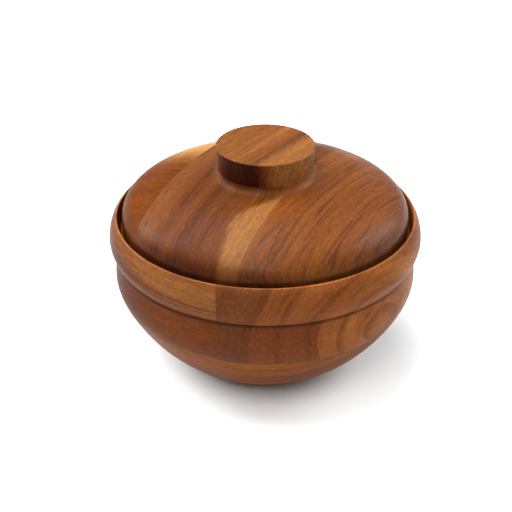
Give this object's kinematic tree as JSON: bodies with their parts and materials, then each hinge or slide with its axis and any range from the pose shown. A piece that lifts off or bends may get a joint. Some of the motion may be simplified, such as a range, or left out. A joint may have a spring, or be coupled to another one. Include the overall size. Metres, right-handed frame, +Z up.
{
  "type": "lidded shaving bowl",
  "caption": "Turned wooden shaving bowl with a round body, a bulging rim band and a low domed lift-off lid with a flat-topped knob, glued up from boards.",
  "frame": {"origin": "middle of the foot's resting plane, on the axis that the bowl was turned about", "axes": "+Z up along the turning axis, -Y towards the front, +X to the right seen from the front; the upper layer's glue joint is parallel to Y"},
  "size_m": [0.12, 0.12, 0.09],
  "materials": {
    "base_wood": "satin oil finish",
    "banded_wood": "satin oil finish",
    "red_wood": "satin oil finish",
    "lid_wood_pale": "satin oil finish",
    "lid_wood": "satin oil finish",
    "lid_wood_dark": "satin oil finish"
  },
  "bodies": {
    "bowl": {"base_front_board": "base_wood", "base_middle_board": "base_wood", "base_rear_board": "base_wood", "upper_left_board": "banded_wood", "upper_right_board": "red_wood"},
    "lid": {"lid_knob": "lid_wood", "lid_left_board": "lid_wood_pale", "lid_middle_board": "lid_wood", "lid_right_board": "lid_wood_dark"}
  },
  "joints": [
    {"name": "lid_lift", "type": "slide", "parent": "bowl", "child": "lid", "axis": [0, 0, 1], "range_m": [0, 0.08]}
  ]
}
